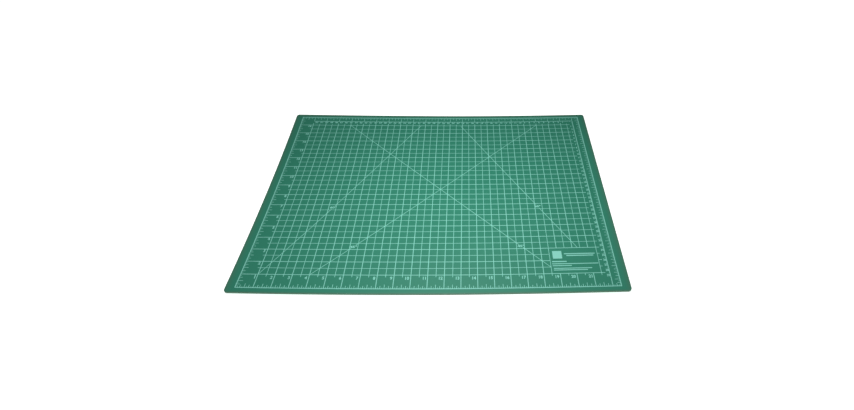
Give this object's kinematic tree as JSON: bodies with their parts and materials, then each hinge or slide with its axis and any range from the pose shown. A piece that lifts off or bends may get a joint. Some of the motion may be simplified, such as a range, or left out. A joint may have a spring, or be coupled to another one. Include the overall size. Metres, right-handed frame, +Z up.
{
  "type": "flexible cutting mat",
  "caption": "Flexible self-healing cutting mat: a thin laminated vinyl sheet with rounded corners, printed with a measuring grid, rulers and angle guides.",
  "frame": {"origin": "middle of the underside, on the surface that the mat lies on", "axes": "+X along the long side towards the right end of the rulers, +Y away from the user, +Z up through the printed face"},
  "size_m": [0.6, 0.45, 0.003],
  "materials": {
    "green_vinyl": "soft matte vinyl with a fine pebbled face",
    "core_vinyl": "stiffer vinyl, seen only at the cut edge",
    "pale_ink": "thin matte screen-printed ink"
  },
  "bodies": {
    "root": {"bottom_healing_ply": "green_vinyl", "stiff_core_ply": "core_vinyl", "top_healing_ply": "green_vinyl", "printed_grid": "pale_ink", "inch_ruler_marks": "pale_ink", "centimetre_ruler_marks": "pale_ink"}
  },
  "joints": []
}
